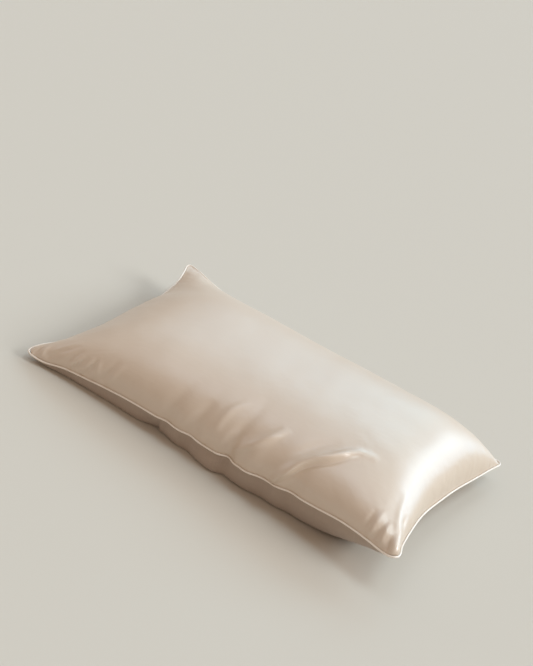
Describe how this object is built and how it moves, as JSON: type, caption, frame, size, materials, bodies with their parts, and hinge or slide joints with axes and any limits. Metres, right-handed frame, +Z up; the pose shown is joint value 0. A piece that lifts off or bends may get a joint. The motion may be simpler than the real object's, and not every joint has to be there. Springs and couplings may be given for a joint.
{
  "type": "pillowcase",
  "caption": "Filled rectangular pillowcase with piped edges, a full rounded front, soft flat corner ears and a matte envelope back that lies flat.",
  "frame": {"origin": "under the middle of the case, on the surface that its back lies on", "axes": "+X along the length towards the fuller end, +Y across the width, +Z up out of the front"},
  "size_m": [0.7135, 0.467, 0.1395],
  "materials": {
    "satin": "smooth champagne satin with a soft sheen",
    "back_cloth": "matte plain-woven cloth",
    "piping": "pale satin cut on the bias over a cord"
  },
  "bodies": {
    "root": {"front_panel": "satin", "back_panel": "back_cloth", "back_flap": "back_cloth", "piping": "piping"}
  },
  "joints": []
}
